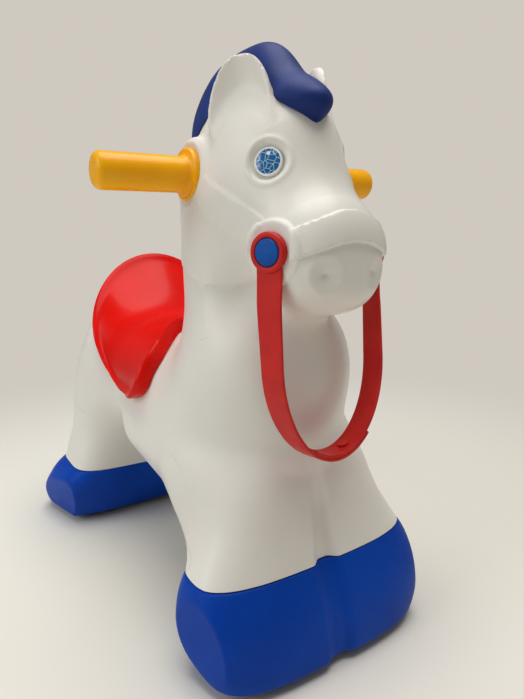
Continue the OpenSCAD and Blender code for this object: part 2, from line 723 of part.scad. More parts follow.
body_shell();
saddle();
saddle_screws();
mane();
handle_rod();
rein_stud();
front_base();
rear_base();
front_base_screws();
rear_base_screws();
for (s = SIDES) {
    grip(s[1]);
    eye_button(s[1]);
    eye_iris(s[1]);
    rein_eyelet(s[1]);
    rein_pin(s[1]);
    rein_strap(s[1]);
}
for (c = CASTORS) {
    castor_fork(c);
    castor_stem(c);
    castor_axle(c);
    wheel(c);
}
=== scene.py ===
import math

import bmesh
import bpy
import numpy as np
from mathutils import Matrix, Vector


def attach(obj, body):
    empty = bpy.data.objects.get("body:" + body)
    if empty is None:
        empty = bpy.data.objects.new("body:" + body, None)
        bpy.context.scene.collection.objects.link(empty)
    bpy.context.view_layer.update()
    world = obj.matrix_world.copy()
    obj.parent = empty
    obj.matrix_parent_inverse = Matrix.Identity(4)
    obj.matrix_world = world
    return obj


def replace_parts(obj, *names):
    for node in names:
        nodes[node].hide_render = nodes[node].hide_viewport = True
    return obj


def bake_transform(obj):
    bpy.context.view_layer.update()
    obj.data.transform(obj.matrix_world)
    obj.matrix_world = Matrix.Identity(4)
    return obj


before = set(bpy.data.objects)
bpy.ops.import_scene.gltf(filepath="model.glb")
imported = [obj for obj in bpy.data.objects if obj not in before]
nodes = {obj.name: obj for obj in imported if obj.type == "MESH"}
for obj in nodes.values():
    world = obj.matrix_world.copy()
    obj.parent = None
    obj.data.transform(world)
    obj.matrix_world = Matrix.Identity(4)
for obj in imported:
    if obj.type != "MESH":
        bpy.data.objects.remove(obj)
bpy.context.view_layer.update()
print("frame loaded,", len(nodes), "nodes")

# shapes are worked out in millimetres and turned to metres when a mesh takes them

head = np.array([0, -98, 401.0])


def mix(a, b, t):
    return a + (b - a) * t


def unit(t):
    return np.clip(t, 0, 1)


def ease(t):
    c = unit(t)
    return c * c * (3 - 2 * c)


def blend(a, b, k):
    h = np.maximum(k - np.abs(a - b), 0) / k
    return np.minimum(a, b) - h * h * k / 4


def roundMax(a, b, k):
    return -blend(-a, -b, k)


def lengths(v):
    return np.sqrt((v * v).sum(-1))


# offset from the nearest place between two ends, and the half sizes there
def along(p, a, b, ra, rb):
    a, b, ra, rb = (np.array(v, float) for v in (a, b, ra, rb))
    d = b - a
    t = unit((p - a) @ d / max(d @ d, 1e-9))[:, None]
    return p - a - d * t, ra + (rb - ra) * t


def eggAt(q, r):
    near, slope = lengths(q / r), lengths(q / (r * r))
    return near * (near - 1) / np.maximum(slope, 1e-6)


def pillowAt(q, r, n):
    return ((np.abs(q / r) ** n).sum(-1) ** (1 / n) - 1) * r.min(-1)


legs = {"top": 190, "taper": 1.4, "square": 3, "round": 50}   # alike for all four
foreLeg = {"low": 84, "place": (-172, -137), "width": (107, 62), "depth": (38, 56), "square": 3}
hindLeg = {"low": 74, "place": (156, 150), "width": (119, 92), "depth": (53, 66), "square": 4.3}
forms = {   # the rounded masses: both ends of each, and its half sizes there
    "rump": ((0, 149, 190), (0, 149, 190), (93, 86, 104), (93, 86, 104)),
    "trunk": ((0, -88, 178), (0, 90, 198), (86, 60, 68), (82, 66, 62)),
    "girth": ((0, -118, 142), (0, 6, 154), (86, 44, 46), (86, 50, 48)),
    "chest": ((0, -130, 232), (0, -130, 232), (66, 58, 60), (66, 58, 60)),
    "neck": ((0, -112, 240), (0, -104, 370), (66, 70, 70), (61, 78, 60)),
    "skull": ((0, -121, 407), (0, -121, 407), (54, 75, 69), (54, 75, 69)),
    "bridge": ((0, -150, 393), (0, -196, 351), (48, 48, 45), (42, 35, 36)),
    "muzzle": ((0, -202, 331), (0, -202, 331), (44.5, 36, 41), (44.5, 36, 41)),
}
boxy = {"trunk": 2.6, "muzzle": 2.5}   # these are squarer than eggs
soft = {"girth": 30, "rump": 40, "legs": 10, "hips": 40, "chest": 25,
        "bridge": 22, "muzzle": 12, "neck": 40, "face": 22}   # widths of the joins


def legShare(z, low):
    return unit((legs["top"] - z) / (legs["top"] - low)) ** legs["taper"]


def leg(p, low, place, width, depth, square):
    s = legShare(p[:, 2], low)
    w, d, y = (mix(v[1], v[0], s) for v in (width, depth, place))
    n = mix(legs["square"], square, s)
    q = ((np.abs(p[:, 0]) / w) ** n + (np.abs(p[:, 1] - y) / d) ** n) ** (1 / n)
    return roundMax((q - 1) * np.minimum(w, d), p[:, 2] - legs["top"], legs["round"])


def mass(p, name):
    q, r = along(p, *forms[name])
    return pillowAt(q, r, boxy[name]) if name in boxy else eggAt(q, r)


# the moulded body as a distance field, negative inside
def bodyField(p):
    f = {name: mass(p, name) for name in forms}
    belly = blend(blend(f["trunk"], f["girth"], soft["girth"]), f["rump"], soft["rump"])
    feet = blend(leg(p, **foreLeg), leg(p, **hindLeg), soft["legs"])
    torso = blend(blend(belly, feet, soft["hips"]), f["chest"], soft["chest"])
    face = blend(blend(f["skull"], f["bridge"], soft["bridge"]), f["muzzle"], soft["muzzle"])
    return blend(blend(torso, f["neck"], soft["neck"]), face, soft["face"])


def slopeOf(field, p):
    f = field(p)
    return f, np.stack([field(p + e) - f for e in np.eye(3) * 0.4], -1) / 0.4


# moves points along the slope, 4 mm a step at most, until they lie on the field's skin
def settle(field, p, steps):
    for i in range(steps):
        f, g = slopeOf(field, p)
        m = np.maximum(lengths(g), 0.2)
        p = p - g * (np.clip(f / m, -4, 4) / m)[:, None]
    return p


# how far the skin lies from inside points in the given directions
def reach(o, d, far):
    low, high = np.zeros(len(o)), np.full(len(o), float(far))
    for i in range(20):
        m = (low + high) / 2
        inside = bodyField(o + d * m[:, None]) < 0
        low, high = np.where(inside, m, low), np.where(inside, high, m)
    return low


# mesh helpers

def points(verts):
    return np.array([v.co for v in verts], float).reshape(-1, 3) * 1000


def place(verts, p):
    for v, c in zip(verts, p / 1000):
        v.co = c


# edges sharper than the given angle stay crisp
def newPiece(name, bm, look, body="horse", sharp=40):
    for e in bm.edges:
        e.smooth = e.calc_face_angle(0) < math.radians(sharp)
    mesh = bpy.data.meshes.new(name)
    bm.to_mesh(mesh)
    bm.free()
    mesh.polygons.foreach_set("use_smooth", [True] * len(mesh.polygons))
    mesh.materials.append(look)
    piece = bpy.data.objects.new(name, mesh)
    bpy.context.scene.collection.objects.link(piece)
    if body:
        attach(piece, body)
    return piece


# closed ring by ring from one end to the other
def drawTube(bm, rings):
    verts = bmesh.ops.create_circle(bm, segments=len(rings[0]), radius=1)["verts"]
    order = sorted(verts, key=lambda v: math.atan2(v.co.y, v.co.x) % math.tau)
    place(order, rings[0])
    edges = first = list({e for v in verts for e in v.link_edges})
    for p in rings[1:]:
        made = bmesh.ops.extrude_edge_only(bm, edges=edges)["geom"]
        new = {v for v in made if isinstance(v, bmesh.types.BMVert)}
        edges = [e for e in made if isinstance(e, bmesh.types.BMEdge) and all(v in new for v in e.verts)]
        order = [next(e.other_vert(v) for e in v.link_edges if e.other_vert(v) in new) for v in order]
        place(order, p)
    return first, edges


def closeTube(bm, rings):
    for edges in drawTube(bm, rings):
        bmesh.ops.contextual_create(bm, geom=edges)


# materials

def linear(rgb):
    return tuple(((c / 255 + 0.055) / 1.055) ** 2.4 if c > 10 else c / 255 / 12.92 for c in rgb) + (1,)


def node(tree, kind, **values):
    made = tree.nodes.new("ShaderNode" + kind)
    for k, v in values.items():
        if k in made.inputs:
            made.inputs[k].default_value = v
        else:
            setattr(made, k, v)
    return made


def plastic(name, look):
    made = bpy.data.materials.new(name)
    made.use_nodes = True
    tree = made.node_tree
    link = tree.links.new
    shader = tree.nodes["Principled BSDF"]
    shader.inputs["Metallic"].default_value = look.get("metal", 0)
    shader.inputs["Coat Weight"].default_value = look.get("coat", 0)
    shader.inputs["Coat Roughness"].default_value = look.get("coatRough", 0.1)
    shader.inputs["Specular IOR Level"].default_value = look.get("specular", 0.3)
    shader.inputs["Subsurface Weight"].default_value = look.get("depth", 0)
    shader.inputs["Subsurface Scale"].default_value = 0.004
    where = node(tree, "TexCoord")
    # slow drift of the tone
    drift = node(tree, "TexNoise", Scale=look["drift"], Detail=4)
    tones = node(tree, "ValToRGB")
    tones.color_ramp.elements[0].position = 0.3
    tones.color_ramp.elements[1].position = 0.7
    tones.color_ramp.elements[0].color = linear(look["dark"])
    tones.color_ramp.elements[1].color = linear(look["color"])
    link(where.outputs["Object"], drift.inputs["Vector"])
    link(drift.outputs["Fac"], tones.inputs["Fac"])
    # rubbed and dull patches, streaked by the stretch
    stretch = node(tree, "Mapping", Scale=look.get("stretch", (1, 1, 1)))
    rub = node(tree, "TexNoise", Scale=look["rub"], Detail=6, Roughness=0.62)
    gloss = node(tree, "MapRange")
    gloss.inputs["From Min"].default_value = 0.3
    gloss.inputs["From Max"].default_value = 0.72
    gloss.inputs["To Min"].default_value = look["rough"][0]
    gloss.inputs["To Max"].default_value = look["rough"][1]
    link(where.outputs["Object"], stretch.inputs["Vector"])
    link(stretch.outputs["Vector"], rub.inputs["Vector"])
    link(rub.outputs["Fac"], gloss.inputs["Value"])
    link(gloss.outputs["Result"], shader.inputs["Roughness"])
    # fine moulded grain
    grain = node(tree, "TexNoise", Scale=look["grain"], Detail=3)
    bump = node(tree, "Bump", Strength=look["bump"], Distance=look.get("height", 0.0004))
    link(where.outputs["Object"], grain.inputs["Vector"])
    link(grain.outputs["Fac"], bump.inputs["Height"])
    link(bump.outputs["Normal"], shader.inputs["Normal"])
    # a few hair scratches, where a slow noise lets them show
    bend = node(tree, "Mapping", Scale=(1, 0.12, 0.3), Rotation=(0.4, 0.7, 0.2))
    hair = node(tree, "TexNoise", Scale=look.get("scratch", 40), Detail=1)
    middle = node(tree, "Math", operation="SUBTRACT")
    middle.inputs[1].default_value = 0.5
    off = node(tree, "Math", operation="ABSOLUTE")
    thin = node(tree, "MapRange")
    thin.inputs["From Max"].default_value = 0.004
    thin.inputs["To Min"].default_value = look.get("scratched", 0.1)
    thin.inputs["To Max"].default_value = 0
    some = node(tree, "MapRange")
    some.inputs["From Min"].default_value = 0.55
    some.inputs["From Max"].default_value = 0.62
    both = node(tree, "Math", operation="MULTIPLY")
    worn = node(tree, "Mix", data_type="RGBA")
    link(where.outputs["Object"], bend.inputs["Vector"])
    link(bend.outputs["Vector"], hair.inputs["Vector"])
    link(hair.outputs["Fac"], middle.inputs[0])
    link(middle.outputs["Value"], off.inputs[0])
    link(off.outputs["Value"], thin.inputs["Value"])
    link(rub.outputs["Fac"], some.inputs["Value"])
    link(thin.outputs["Result"], both.inputs[0])
    link(some.outputs["Result"], both.inputs[1])
    link(both.outputs["Value"], worn.inputs["Factor"])
    link(tones.outputs["Color"], worn.inputs[6])
    worn.inputs[7].default_value = linear(look["worn"])
    link(worn.outputs[2], shader.inputs["Base Color"])
    return made


looks = {
    "white": plastic("whiteShell", {
        "color": (236, 233, 226), "dark": (228, 224, 216), "worn": (190, 180, 168), "drift": 9, "rub": 14,
        "rough": (0.3, 0.44), "grain": 420, "bump": 0.06, "coat": 0.08, "coatRough": 0.25, "depth": 0.1,
        "scratched": 0.4, "scratch": 24}),
    "button": plastic("whiteButton", {
        "color": (240, 240, 236), "dark": (232, 232, 230), "worn": (206, 202, 196), "drift": 60, "rub": 120,
        "rough": (0.15, 0.3), "grain": 900, "bump": 0.05}),
    "saddle": plastic("redSaddle", {
        "color": (222, 18, 8), "dark": (204, 12, 6), "worn": (236, 96, 80), "drift": 14, "rub": 30,
        "rough": (0.18, 0.3), "grain": 260, "bump": 0.03, "coat": 0.04, "coatRough": 0.05, "scratch": 40,
        "specular": 0.11, "stretch": (1, 3, 1)}),
    "rein": plastic("redRein", {
        "color": (208, 32, 26), "dark": (190, 22, 20), "worn": (228, 96, 90), "drift": 40, "rub": 60,
        "rough": (0.36, 0.52), "grain": 1500, "bump": 0.12, "stretch": (1, 1, 0.3), "scratch": 70}),
    "mane": plastic("navyMane", {
        "color": (22, 50, 122), "dark": (15, 38, 98), "worn": (60, 80, 140), "drift": 24, "rub": 40,
        "rough": (0.46, 0.62), "grain": 2400, "bump": 0.2, "scratch": 60, "specular": 0.2}),
    "base": plastic("blueBase", {
        "color": (0, 68, 176), "dark": (0, 58, 160), "worn": (60, 118, 206), "drift": 16, "rub": 36,
        "rough": (0.4, 0.55), "grain": 1300, "bump": 0.12, "scratch": 50, "scratched": 0.25,
        "specular": 0.12}),
    "pin": plastic("bluePin", {
        "color": (8, 84, 170), "dark": (6, 70, 150), "worn": (90, 140, 200), "drift": 90, "rub": 150,
        "rough": (0.34, 0.5), "grain": 1800, "bump": 0.12, "scratch": 120, "specular": 0.2}),
    "grip": plastic("yellowGrip", {
        "color": (255, 184, 2), "dark": (252, 172, 0), "worn": (255, 214, 110), "drift": 40, "rub": 70,
        "rough": (0.22, 0.36), "grain": 500, "bump": 0.05, "coat": 0.15, "coatRough": 0.1,
        "stretch": (0.3, 1, 1), "specular": 0.2}),
    "castor": plastic("castorPlastic", {
        "color": (46, 46, 49), "dark": (36, 36, 38), "worn": (92, 92, 94), "drift": 60, "rub": 100,
        "rough": (0.45, 0.65), "grain": 1500, "bump": 0.2}),
    "rubber": plastic("wheelRubber", {
        "color": (34, 34, 34), "dark": (24, 24, 24), "worn": (96, 92, 88), "drift": 80, "rub": 140,
        "rough": (0.6, 0.85), "grain": 2200, "bump": 0.35, "scratched": 0.3}),
    "steel": plastic("zincSteel", {
        "color": (196, 198, 202), "dark": (176, 178, 184), "worn": (224, 224, 226), "drift": 120, "rub": 300,
        "rough": (0.22, 0.42), "grain": 2600, "bump": 0.1, "metal": 1, "stretch": (0.05, 1, 1)}),
}

eye = {"spot": (38.06, -185, 403), "axis": (0.7519, -0.6225, 0.2175)}


# iris: deep blue with pale crackle and one white glint, alike on both sides
def irisLook():
    made = bpy.data.materials.new("blueIris")
    made.use_nodes = True
    tree = made.node_tree
    link = tree.links.new
    shader = tree.nodes["Principled BSDF"]
    shader.inputs["Roughness"].default_value = 0.12
    shader.inputs["Coat Weight"].default_value = 0.6
    axis = np.array(eye["axis"])
    up = np.array([0, 0, 1.0]) - axis * axis[2]
    glint = (np.array(eye["spot"]) - axis * 2 + up / lengths(up) * 5.8) / 1000
    where = node(tree, "TexCoord")
    split = node(tree, "SeparateXYZ")
    fold = node(tree, "Math", operation="ABSOLUTE")
    join = node(tree, "CombineXYZ")
    link(where.outputs["Object"], split.inputs[0])
    link(split.outputs["X"], fold.inputs[0])
    link(fold.outputs[0], join.inputs["X"])
    link(split.outputs["Y"], join.inputs["Y"])
    link(split.outputs["Z"], join.inputs["Z"])
    cells = node(tree, "TexVoronoi", feature="DISTANCE_TO_EDGE", Scale=230, Randomness=0.9)
    lines = node(tree, "ValToRGB")
    lines.color_ramp.elements[0].position = 0.02
    lines.color_ramp.elements[1].position = 0.055
    lines.color_ramp.elements[0].color = linear((176, 214, 226))
    lines.color_ramp.elements[1].color = linear((18, 96, 156))
    far = node(tree, "VectorMath", operation="DISTANCE")
    far.inputs[1].default_value = glint
    dot = node(tree, "MapRange")
    dot.inputs["From Min"].default_value = 0.0015
    dot.inputs["From Max"].default_value = 0.0019
    dot.inputs["To Min"].default_value = 1
    dot.inputs["To Max"].default_value = 0
    white = node(tree, "Mix", data_type="RGBA")
    white.inputs[7].default_value = linear((238, 244, 246))
    link(join.outputs[0], cells.inputs["Vector"])
    link(cells.outputs["Distance"], lines.inputs["Fac"])
    link(join.outputs[0], far.inputs[0])
    link(far.outputs["Value"], dot.inputs["Value"])
    link(dot.outputs["Result"], white.inputs["Factor"])
    link(lines.outputs["Color"], white.inputs[6])
    link(white.outputs[2], shader.inputs["Base Color"])
    return made


looks["iris"] = irisLook()
print("materials made")

# body: lumps joined by a voxel remesh, settled on the smooth field, then given the moulded relief

body = {
    "voxel": 4.5,
    "lumps": {"rump": 1, "trunk": 7, "girth": 5, "chest": 1, "neck": 5, "skull": 1, "bridge": 4, "muzzle": 1},
    "swell": {"trunk": (2, 2, 2), "muzzle": (0.5, 1, 1)},   # added to the half sizes of those lumps
}
gripBoss = {"radius": 30, "face": 57, "deep": 22, "round": 5, "join": 5, "lip": 25.5, "lipHeight": 1.2}
bit = {"face": (48.676, -203.368, 338.5), "axis": (0.920505, -0.390731, 0),
       "radius": 23, "deep": 12, "round": 2.5}
bitFace, bitAxis = np.array(bit["face"]), np.array(bit["axis"])
ears = {"half": 28, "dish": 8, "rim": 4.6, "foot": 16, "top": 83, "back": (20, 2), "round": 4, "join": 7,
        "turn": (0.5, 0.866)}
# gap over the base, and the spare length that is cut off
legEnds = {"gap": 1.3, "chamfer": 1.5, "spare": 10, "round": 3}


def folded(p):
    return np.stack([np.abs(p[:, 0]), p[:, 1], p[:, 2]], -1)


# half width, dish, wall and middle of an ear at the share t of its height
def earShape(t):
    half = ears["half"] * np.sqrt(np.maximum(1 - t ** 2.6, 0)) * mix(0.7, 1, ease(t / 0.3)) + 1.5
    dish = ears["dish"] * np.sin(np.pi * t * 0.92)
    return half, dish, mix(*ears["back"], t), mix(44, 40, t) - 9 * (1 - t) ** 6, mix(-54, -53, t)


def earField(p):
    q = folded(p) - head
    t = unit((q[:, 2] - ears["foot"]) / (ears["top"] - ears["foot"]))
    half, dish, back, x, y = earShape(t)
    c, s = ears["turn"]
    dx, dy = q[:, 0] - x, q[:, 1] - y
    a, b = -c * dx - s * dy, s * dx - c * dy
    u = unit((a / half) ** 2)
    front = b + dish * (1 - u)
    behind = -(front + ears["rim"] + back * np.sqrt(1 - u))
    flat = roundMax(roundMax(front, behind, ears["round"]), np.abs(a) - half, ears["round"])
    return roundMax(np.maximum(flat, ears["foot"] / 2 - q[:, 2]), q[:, 2] - ears["top"], ears["round"])


def handleBoss(p):
    r = np.hypot(p[:, 1] - head[1], p[:, 2] - head[2])
    return roundMax(r - gripBoss["radius"], np.abs(p[:, 0]) - gripBoss["face"], gripBoss["round"])


def bitBoss(p):
    d = folded(p) - bitFace
    h = d @ bitAxis
    r = lengths(d - h[:, None] * bitAxis)
    return np.maximum(roundMax(r - bit["radius"], h, bit["round"]), -bit["deep"] - h)


def legEnd(p):
    return np.where(p[:, 1] < 0, foreLeg["low"], hindLeg["low"]) - legEnds["spare"] - p[:, 2]


def skinField(p):
    f = blend(bodyField(p), earField(p), ears["join"])
    f = blend(blend(f, handleBoss(p), gripBoss["join"]), bitBoss(p), bit["round"])
    return roundMax(f, legEnd(p), legEnds["round"])


# moulded relief, each as a height over the skin at points folded to the left side

noseband = {"middle": 340, "rise": 16, "below": 11, "above": 10.5, "end": 1.25, "height": 2.6}


# arched over the nose and ending at the bit bosses
def nosebandHeight(q):
    turn = np.arctan2(q[:, 0], forms["muzzle"][0][1] - q[:, 1])
    s = q[:, 2] - noseband["middle"] - noseband["rise"] * np.maximum(np.cos(turn), 0) ** 1.5
    wide = ease((s + noseband["below"]) / 1.4 + 0.5) * ease((noseband["above"] - s) / 1.6 + 0.5)
    return noseband["height"] * wide * ease((noseband["end"] - turn) / 0.1)


cheek = {"half": 12.5, "start": 26, "stop": 14, "inside": 30, "height": 1.1}


# strap from the grip boss to the bit boss
def cheekHeight(q):
    d = bitFace[1:] - head[1:]
    span = np.hypot(*d)
    d = d / span
    e = q[:, 1:] - head[1:]
    run, across = e @ d, e @ np.array([-d[1], d[0]])
    wide = ease((cheek["half"] - np.abs(across)) / 1.5 + 0.5)
    part = ease((run - cheek["start"]) / 4) * ease((span - cheek["stop"] - run) / 4)
    return cheek["height"] * wide * part * ease((q[:, 0] - cheek["inside"]) / 8)


jaw = {"height": 2.2, "middle": -150, "edge": (311.7, -0.1174, 0.004943),
       "back": -66, "front": -214, "inside": 26}


# stands over the neck along a curved edge and dies out at the bit boss
def jawHeight(q):
    x, y, z = q.T
    v = y - jaw["middle"]
    level, slope, curve = jaw["edge"]
    up = z - (level + slope * v + curve * v * v)
    lip = ease(up / 2.6 + 0.5)
    high = lip * np.exp(-np.maximum(up, 0) / 20) - 0.5 * (1 - lip) * np.exp(np.minimum(up, 0) / 9)
    part = ease((x - jaw["inside"]) / 16) * ease((jaw["back"] - y) / 14) * ease((y - jaw["front"]) / 22)
    clear = ease((lengths((q - bitFace)[:, 1:]) - bit["radius"]) / 2)
    return jaw["height"] * high * part * clear


throat = {"depth": 11, "level": 304, "half": 24, "back": -120, "front": -194}


def throatDepth(q):
    x, y, z = q.T
    hollow = np.exp(-((z - throat["level"]) / throat["half"]) ** 2)
    return throat["depth"] * hollow * ease((throat["back"] - y) / 40) * ease((y - throat["front"]) / 16)


nostril = {"spot": (23, -234.4, 322.2), "radius": 13, "depth": 3, "pit": 1.2, "lip": 0.6}


def nostrilDepth(q):
    far = lengths(q - np.array(nostril["spot"]))
    bowl = nostril["depth"] * ease(1 - far / nostril["radius"]) + nostril["pit"] * np.exp(-(far / 3) ** 2)
    return bowl - nostril["lip"] * np.exp(-((far - nostril["radius"]) / 3) ** 2)


valley = {"depth": 6.5, "top": 172, "tall": 88, "half": (5, 12), "back": -150}


# between the front legs, wider towards the base
def valleyDepth(q):
    x, y, z = q.T
    v = unit((valley["top"] - z) / valley["tall"])
    half = mix(*valley["half"], v)
    groove = (1 - ease((x - 0.3 * half) / (0.9 * half))) * ease(v * 1.5)
    return valley["depth"] * groove * ease((valley["back"] - y) / 20)


socket = {"depth": 4, "radius": 16, "lip": 17, "lipHeight": 0.7, "within": 12}


def socketHeight(q):
    axis = np.array(eye["axis"])
    d = q - np.array(eye["spot"])
    h = d @ axis
    r = lengths(d - h[:, None] * axis)
    lip = socket["lipHeight"] * np.exp(-((r - socket["lip"]) / 2.2) ** 2)
    return (np.abs(h) < socket["within"]) * (lip - socket["depth"] * ease((socket["radius"] - r) / 5))


def gripLipHeight(q):
    r = np.hypot(q[:, 1] - head[1], q[:, 2] - head[2])
    lip = np.exp(-((r - gripBoss["lip"]) / 2) ** 2)
    return gripBoss["lipHeight"] * lip * (q[:, 0] > gripBoss["face"] - gripBoss["round"])


def relief(p):
    q = folded(p)
    raised = np.maximum(nosebandHeight(q), cheekHeight(q)) + jawHeight(q) + socketHeight(q) + gripLipHeight(q)
    return raised - throatDepth(q) - nostrilDepth(q) - valleyDepth(q)


def legRings(low, place, width, depth, square):
    a = np.arange(64) * math.tau / 64
    for z in np.linspace(low - legEnds["spare"], legs["top"] - 8, 12):
        s = legShare(z, low)
        n = mix(legs["square"], square, s)
        q = (np.abs(np.cos(a)) ** n + np.abs(np.sin(a)) ** n) ** (1 / n)
        x = np.cos(a) / q * mix(width[1], width[0], s)
        y = np.sin(a) / q * mix(depth[1], depth[0], s) + mix(place[1], place[0], s)
        yield np.stack([x, y, z + 0 * a], -1)


def earRings(side):
    a = np.arange(32) * math.tau / 32
    u, v = np.cos(a), np.sin(a)
    c, s = ears["turn"]
    for t in np.linspace(0, 1, 14):
        half, dish, back, x, y = earShape(t)
        deep = dish * (1 - u * u) + np.where(v > 0, 0, ears["rim"] + back * np.abs(v))
        high = 0 * a + mix(ears["foot"] - 4, ears["top"], t)
        yield head + np.stack([side * (x - c * half * u - s * deep), y - s * half * u + c * deep, high], -1)


# a round block that points outward on the given side
def addBoss(bm, side, middle, axis, radius, deep):
    turn = Vector((side * axis[0], axis[1], axis[2])).to_track_quat("Z", "X").to_matrix().to_4x4()
    at = Matrix.Translation((side * middle[0] / 1000, middle[1] / 1000, middle[2] / 1000))
    bmesh.ops.create_cone(bm, cap_ends=True, segments=64, radius1=radius / 1000, radius2=radius / 1000,
                          depth=deep / 1000, matrix=at @ turn)


def settleSkin(bm, steps):
    verts = list(bm.verts)
    place(verts, settle(skinField, points(verts), steps))


def smoothSkin(bm, factor, steps):
    bmesh.ops.smooth_vert(bm, verts=bm.verts, factor=factor,
                          use_axis_x=True, use_axis_y=True, use_axis_z=True)
    settleSkin(bm, steps)


def onHead(x, y, z):
    return z > 0.288 and y < -0.03


def onValley(x, y, z):
    return abs(x) < 0.03 and y < -0.15 and z < 0.19


def onFace(x, y, z):
    return z > 0.288 and y < -0.172


def onEars(x, y, z):
    return z > 0.418 and abs(x) > 0.014


def finer(bm, *places):
    edges = [e for e in bm.edges if all(any(at(*v.co) for at in places) for v in e.verts)]
    bmesh.ops.subdivide_edges(bm, edges=edges, cuts=1, use_grid_fill=True)
    settleSkin(bm, 2)
    smoothSkin(bm, 0.4, 2)


# takes the spare end off a leg just over its base and leaves a chamfer under the rim
def trimLeg(bm, low, front):
    near = [f for f in bm.faces if all((v.co.y < 0) == front and v.co.z < 0.13 for v in f.verts)]
    edges, verts = {e for f in near for e in f.edges}, {v for f in near for v in f.verts}
    level = (low + legEnds["gap"]) / 1000
    cut = bmesh.ops.bisect_plane(bm, geom=[*near, *edges, *verts], dist=1e-6, plane_co=(0, 0, level),
                                 plane_no=(0, 0, 1), clear_inner=True)["geom_cut"]
    rim = [e for e in cut if isinstance(e, bmesh.types.BMEdge)]
    cap = bmesh.ops.contextual_create(bm, geom=rim)["faces"]
    bmesh.ops.inset_region(bm, faces=cap, thickness=legEnds["chamfer"] / 1000, use_even_offset=True)
    down = (0, 0, 0.05 / 1000 - legEnds["gap"] / 1000)
    bmesh.ops.translate(bm, vec=down, verts=list({v for f in cap for v in f.verts}))


bm = bmesh.new()
for name, count in body["lumps"].items():
    a, b, ra, rb = (np.array(v, float) for v in forms[name])
    more = np.array(body["swell"].get(name, (0, 0, 0)))
    for t in np.linspace(0, 1, count):
        at = Matrix.Translation(mix(a, b, t) / 1000)
        size = Matrix.Diagonal((*(mix(ra, rb, t) + more) / 1000, 1))
        bmesh.ops.create_icosphere(bm, subdivisions=4, radius=1, matrix=at @ size)
closeTube(bm, list(legRings(**foreLeg)))
closeTube(bm, list(legRings(**hindLeg)))
for side in (-1, 1):
    closeTube(bm, list(earRings(side)))
    middle = head + np.array([gripBoss["face"] - gripBoss["deep"] / 2, 0, 0])
    addBoss(bm, side, middle, (1, 0, 0), gripBoss["radius"], gripBoss["deep"])
    addBoss(bm, side, bitFace - bitAxis * bit["deep"] / 2, bitAxis, bit["radius"], bit["deep"])
bmesh.ops.recalc_face_normals(bm, faces=bm.faces)
rough = bpy.data.meshes.new("roughSkin")
bm.to_mesh(rough)
bm.free()
blank = bpy.data.objects.new("roughSkin", rough)
bpy.context.scene.collection.objects.link(blank)
remesh = blank.modifiers.new("remesh", "REMESH")
remesh.mode = "VOXEL"
remesh.voxel_size = body["voxel"] / 1000
bm = bmesh.new()
bm.from_object(blank, bpy.context.evaluated_depsgraph_get())
bpy.data.objects.remove(blank)
print("body remeshed,", len(bm.faces), "faces")
settleSkin(bm, 6)
smoothSkin(bm, 0.5, 3)
finer(bm, onHead, onValley)
finer(bm, onFace, onEars)
p = points(bm.verts)
f, g = slopeOf(skinField, p)
place(list(bm.verts), p + g / np.maximum(lengths(g), 0.2)[:, None] * relief(p)[:, None])
trimLeg(bm, foreLeg["low"], True)
trimLeg(bm, hindLeg["low"], False)
bmesh.ops.triangulate(bm, faces=[f for f in bm.faces if len(f.verts) > 4])
bmesh.ops.recalc_face_normals(bm, faces=bm.faces)
print("body settled,", len(bm.faces), "faces")
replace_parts(newPiece("horseBody", bm, looks["white"], sharp=46), "body_shell")

# saddle: a sheet laid over the back, doubled and closed round its rolled rim

saddle = {"wall": 4.5, "gap": 0.7, "rim": 4.5, "roll": 3.5, "cantle": 35, "pommel": 7,
          "rear": (30, 113), "front": (8, 50), "flap": 85, "tip": 15, "axis": 185, "girth": 90,
          "columns": 140, "rows": 80}


# skin, direction, lift and distance to the edge, for t across the back and s from front to rear
def saddleRays(t, s):
    a = t * saddle["flap"]
    c = np.radians(np.abs(a) * 90 / (saddle["flap"] + 1))
    rear = saddle["rear"][0] + saddle["rear"][1] * np.cos(c) ** 0.7
    front = saddle["front"][0] - saddle["front"][1] * ease((np.abs(a) - 12) / 46)
    tip = unit((np.abs(a) - saddle["flap"] + saddle["tip"]) / saddle["tip"])
    half = (rear - front) / 2 * np.sqrt(1 - 0.985 * tip * tip)
    y = (front + rear) / 2 + half * (2 * s - 1)
    r = np.radians(a)
    d = np.stack([np.sin(r), 0 * r, np.cos(r)], -1)
    o = np.stack([0 * y, y, saddle["axis"] + 0 * y], -1)
    lift = saddle["cantle"] * s ** 4 * np.maximum(0, np.cos(r)) ** 2.6 + saddle["pommel"] * (1 - s) ** 4
    side = np.radians(saddle["flap"] * (1 - np.abs(t))) * saddle["girth"]
    end = np.minimum(s, 1 - s) * 2 * half
    return o + d * reach(o, d, 200)[:, None], d, lift, blend(side, end, 6)


def saddleSheet(verts, top):
    g = points(verts) / 1000
    skin, d, lift, edge = saddleRays(g[:, 0], (g[:, 1] + 1) / 2)
    if top:
        inward = unit(edge / saddle["rim"])
        rise = lift + saddle["wall"] * np.sqrt(1 - (1 - inward) ** 2)
        rise = rise + saddle["roll"] * np.exp(-((edge - saddle["rim"]) / 3.8) ** 2)
    else:
        rise = np.maximum(0, lift - 1) * ease(edge / 10)
    place(verts, skin + d * (saddle["gap"] + rise)[:, None])


